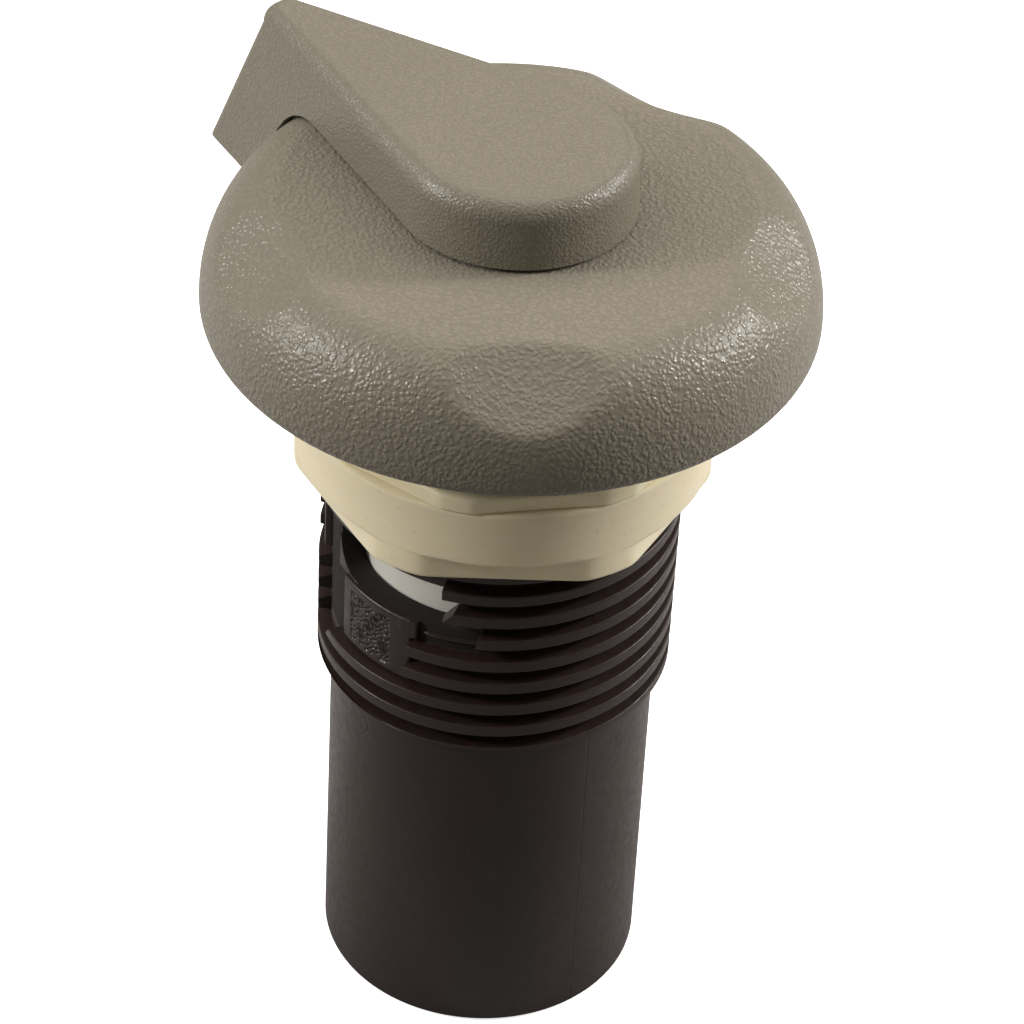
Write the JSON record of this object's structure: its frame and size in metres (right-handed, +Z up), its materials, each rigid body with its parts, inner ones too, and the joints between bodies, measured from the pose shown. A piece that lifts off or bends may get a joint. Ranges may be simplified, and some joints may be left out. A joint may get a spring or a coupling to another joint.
{
  "type": "air control valve",
  "caption": "Deck-mounted air control valve: scalloped cap with a teardrop lever over a threaded barrel, ported rotor inside, clamped by a nut and slip washer.",
  "frame": {"origin": "on the valve's axis, in the plane of the deck's top surface, where the gasket seats", "axes": "+Z up, out of the deck, along the valve's axis; the air window faces between -X and -Y, and the closed lever points between -X and +Y"},
  "size_m": [0.077, 0.0756, 0.127],
  "materials": {
    "black_moulding": "semi-gloss moulded black-brown plastic",
    "black_rubber": "plain elastomer",
    "grey_cap_moulding": "warm grey plastic with a coarse leather grain",
    "grey_lever_moulding": "warm grey plastic with a fine grain",
    "thrust_washer_moulding": "smooth slippery plastic",
    "retaining_ring_steel": "stamped spring steel",
    "white_rotor_moulding": "smooth white plastic",
    "screw_steel": "plain stainless steel",
    "cream_washer_moulding": "smooth cream plastic",
    "cream_nut_moulding": "smooth cream plastic, slightly translucent"
  },
  "bodies": {
    "housing": {"valve_body": "black_moulding", "deck_gasket": "black_rubber", "escutcheon_cap": "grey_cap_moulding", "thrust_washer": "thrust_washer_moulding", "retaining_ring": "retaining_ring_steel"},
    "rotor": {"rotor_sleeve": "white_rotor_moulding", "rotor_o_ring_lower": "black_rubber", "rotor_o_ring_upper": "black_rubber", "lever_handle": "grey_lever_moulding", "stem_o_ring": "black_rubber", "lever_screw": "screw_steel", "screw_washer": "screw_steel"},
    "washer": {"slip_washer": "cream_washer_moulding"},
    "nut": {"mounting_nut": "cream_nut_moulding"}
  },
  "joints": [
    {"name": "lever_turn", "type": "hinge", "parent": "housing", "child": "rotor", "pos_m": [0, 0, 0], "axis": [0, 0, 1], "range_deg": [-2, 88]},
    {"name": "nut_slide", "type": "slide", "parent": "housing", "child": "washer", "axis": [0, 0, 1], "range_m": [-0.0253, 0.0087]},
    {"name": "nut_turn", "type": "hinge", "parent": "washer", "child": "nut", "pos_m": [0, 0, 0], "axis": [0, 0, 1], "range_deg": [-2570, 885]}
  ],
  "couplings": [
    {"joint": "nut_turn", "follows": "nut_slide", "rad_per_m": 1769.9}
  ]
}
